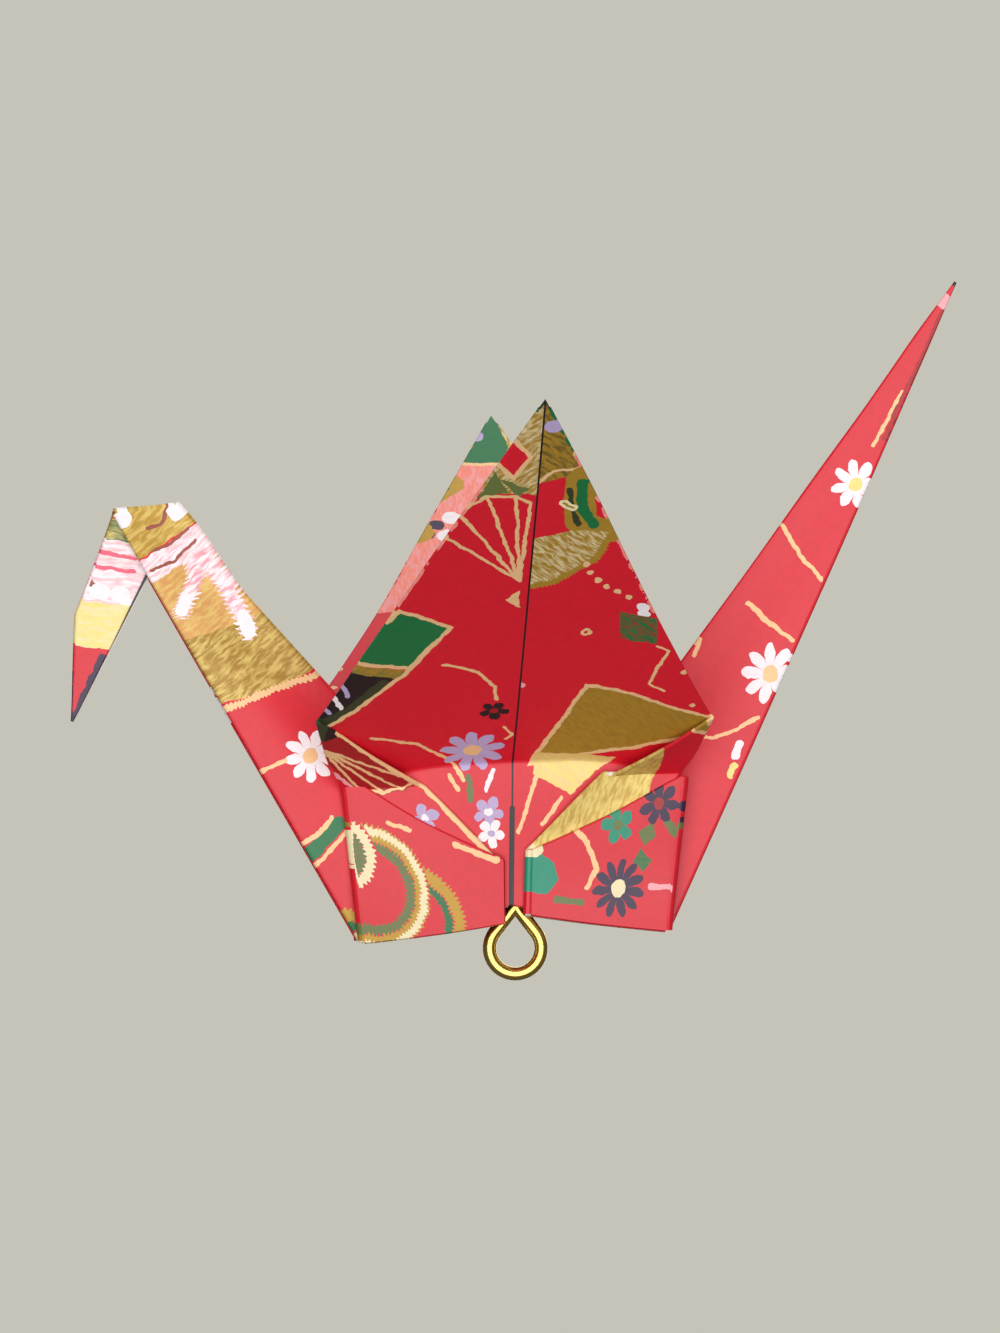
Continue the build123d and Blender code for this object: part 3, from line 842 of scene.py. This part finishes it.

# Black along the sheet's cut edges, partly edge ink and partly painted shade of the gaps between the layers,
# wider on the legs and at the foot of the slit, where it is painted shade
inside = fromCutEdge(tree, uvs)
split = addNode(tree, "ShaderNodeSeparateXYZ", links=(uvs,))
onLeg = addNode(tree, maths, "ABSOLUTE", (split.outputs[0],), 0)
onLeg = addNode(tree, maths, "GREATER_THAN", (onLeg, drawn["edgeShadeWidensAt"]), 0)
wider = drawn["wideEdgeShade"] - drawn["edgeInkAndShade"]
edgeInkAndShade = addNode(tree, maths, "MULTIPLY_ADD", (onLeg, wider, drawn["edgeInkAndShade"]), 0)
lay(addNode(tree, maths, "LESS_THAN", (inside, edgeInkAndShade), 0), "black")

# The paper's own fibres cloud the colour and stand up a little, drawn coarser than real ones
fibres = addNode(tree, "ShaderNodeTexNoise", links={
    "Vector": uvs, "Scale": 1 / paper["fibre"], "Detail": 6.0, "Roughness": 0.65}, out=0)
cloud = addNode(tree, "ShaderNodeMapRange", links=(fibres, 0.3, 0.7, *paper["cloud"]), out=0)
tinted = addNode(tree, vectors, "SCALE", {0: pulled["colour"], "Scale": cloud}, 0)
relief = addNode(tree, "ShaderNodeBump", links={
    "Strength": 0.25, "Distance": paper["relief"] * millimetre, "Height": fibres}, out=0)
shader = addNode(tree, "ShaderNodeBsdfPrincipled", links={
    "Base Color": tinted, "Metallic": pulled["metal"], "Roughness": paper["roughness"],
    "Specular IOR Level": paper["specular"], "Normal": relief})
addNode(tree, "ShaderNodeOutputMaterial", links={"Surface": shader.outputs[0]})
print("print laid:", pulled["count"], "layers,", len(tree.nodes), "nodes")

# The back of the washi has no ink or varnish: a dull warm white, with painted shade along the cut edges so
# that the gaps between the layers read dark
plain, tree = newMaterial("washi, plain side")
uvs = addNode(tree, "ShaderNodeUVMap", {"uv_map": "openSheet"}).outputs[0]
inside = fromCutEdge(tree, uvs)
# Painted shade along the cut edges
plainEdgeShade = addNode(tree, maths, "LESS_THAN", (inside, drawn["plainEdgeShade"]), 0)
mixed = addNode(tree, "ShaderNodeMix", {"data_type": "RGBA"}, {
    0: plainEdgeShade, 6: linear("#F1ECE0"), 7: linear("#1A1216")})
shader = addNode(tree, "ShaderNodeBsdfPrincipled", links={"Base Color": mixed.outputs[2], "Roughness": 0.8})
addNode(tree, "ShaderNodeOutputMaterial", links={"Surface": shader.outputs[0]})

# Cut edges, painted dark for the shade in the gaps between the layers: a thin dark line, with no shine
cut, tree = newMaterial("washi, cut edge")
shader = addNode(tree, "ShaderNodeBsdfPrincipled", links={"Base Color": linear("#2A1618"), "Roughness": 0.8})
addNode(tree, "ShaderNodeOutputMaterial", links={"Surface": shader.outputs[0]})


def evaluated(piece, kind, settings):
    # The piece's mesh with one modifier applied
    modifier = piece.modifiers.new(kind, kind)
    for key, value in settings.items():
        setattr(modifier, key, value)
    bpy.context.view_layer.update()
    graph = bpy.context.evaluated_depsgraph_get()
    result = bpy.data.meshes.new_from_object(piece.evaluated_get(graph))
    piece.modifiers.clear()
    piece.data = result
    return result


# The sheet as a piece: its corners closed, then paper thickness given to it
mesh = bpy.data.meshes.new("sheet")
mesh.from_pydata([p * millimetre for p in points], [], faces)
uvLayer = mesh.uv_layers.new(name="openSheet")
for loop in mesh.loops:
    uvLayer.data[loop.index].uv = sheetPlaces[loop.vertex_index]
work = bmesh.new()
work.from_mesh(mesh)
bmesh.ops.remove_doubles(work, verts=work.verts, dist=same * millimetre)
rim = [edge for edge in work.edges if edge.is_boundary]
closed = bmesh.ops.holes_fill(work, edges=rim, sides=24)["faces"]    # corners where folds meet
uvs = work.loops.layers.uv["openSheet"]
for face in closed:
    for loop in face.loops:
        loop[uvs].uv = next(other for other in loop.vert.link_loops if other.face not in closed)[uvs].uv
work.to_mesh(mesh)
work.free()
for material in (printed, plain, cut):
    mesh.materials.append(material)
sheet = bpy.data.objects.new("folded_sheet", mesh)
bpy.context.scene.collection.objects.link(sheet)
thick = evaluated(sheet, "SOLIDIFY", {
    "thickness": crane["paper"] * millimetre, "offset": 0, "use_even_offset": False,
    "material_offset": 1, "material_offset_rim": 2})
thick.shade_smooth()
thick.set_sharp_from_angle(angle=math.radians(crane["sharpFrom"]))
thick = evaluated(sheet, "WEIGHTED_NORMAL", {"keep_sharp": True, "weight": 50})
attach(sheet, "root")
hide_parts("folded_crane")
print("sheet piece:", len(thick.polygons), "faces,", len(closed), "corners closed")

# Drawn brass wire with a thin gold plate: a warm mirror, softened by the marks of the drawing and the pliers
wire = {"colour": "#E8C66A", "metallic": 1.0, "roughness": 0.22}
plated, tree = newMaterial("gold-plated brass wire")
shader = addNode(tree, "ShaderNodeBsdfPrincipled", links={
    "Base Color": linear(wire["colour"]), "Metallic": wire["metallic"], "Roughness": wire["roughness"]})
addNode(tree, "ShaderNodeOutputMaterial", links={"Surface": shader.outputs[0]})
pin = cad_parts["eye_pin"]
for slot in pin.material_slots:
    slot.material = plated
print("pin plated:", len(pin.material_slots), "slots")

# Camera at the photograph's angle: level, four degrees round towards the neck
view = {"turn": 4.0, "distance": 0.8, "width": 0.052, "aim": (-0.0008, 0, -0.0057), "sensor": 36}
cameraData = bpy.data.cameras.new("camera")
camera = bpy.data.objects.new("camera", cameraData)
bpy.context.scene.collection.objects.link(camera)
turn = math.radians(view["turn"])
towardsCamera = Vector((-math.sin(turn), -math.cos(turn), 0))
camera.location = Vector(view["aim"]) + towardsCamera * view["distance"]
camera.rotation_euler = (math.pi / 2, 0, -turn)
cameraData.sensor_fit = "HORIZONTAL"
cameraData.sensor_width = view["sensor"]
cameraData.lens = view["sensor"] * view["distance"] / view["width"]
cameraData.clip_start = 0.01
bpy.context.scene.camera = camera

# A large soft light from behind the camera, and weaker ones above and behind the crane: place, size, watts
softboxes = {
    "front softbox": ((-0.1, -1.45, -0.1), 2.0, 28),
    "top softbox": ((0.1, -0.2, 1.3), 1.0, 9),
    "back softbox": ((0.3, 1.5, 0.3), 1.6, 11),
}
lit = Vector((0, 0, -0.005))    # near the middle of the crane
for name, (place, size, watts) in softboxes.items():
    lamp = bpy.data.lights.new(name, "AREA")
    lamp.shape = "DISK"
    lamp.size = size
    lamp.energy = watts
    softbox = bpy.data.objects.new(name, lamp)
    bpy.context.scene.collection.objects.link(softbox)
    softbox.location = place
    softbox.rotation_euler = (lit - softbox.location).to_track_quat("-Z", "Y").to_euler()
    softbox.visible_camera = False

# A plain warm grey card behind, and a faint light from all round
studio = {"backdrop": "#C6C4B9", "fill": "#E8E6E2", "fillStrength": 0.14}
world = bpy.data.worlds.new("studio")
bpy.context.scene.world = world
world.use_nodes = True
tree = world.node_tree
tree.nodes.clear()
path = addNode(tree, "ShaderNodeLightPath")
shown = addNode(tree, "ShaderNodeBackground", links={"Color": linear(studio["backdrop"]), "Strength": 1.0})
fill = addNode(tree, "ShaderNodeBackground", links={
    "Color": linear(studio["fill"]), "Strength": studio["fillStrength"]})
mixed = addNode(tree, "ShaderNodeMixShader", links={
    0: path.outputs["Is Camera Ray"], 1: fill.outputs[0], 2: shown.outputs[0]})
addNode(tree, "ShaderNodeOutputWorld", links={"Surface": mixed.outputs[0]})

bpy.context.scene.view_settings.view_transform = "Standard"
print("studio set:", len(softboxes), "softboxes")
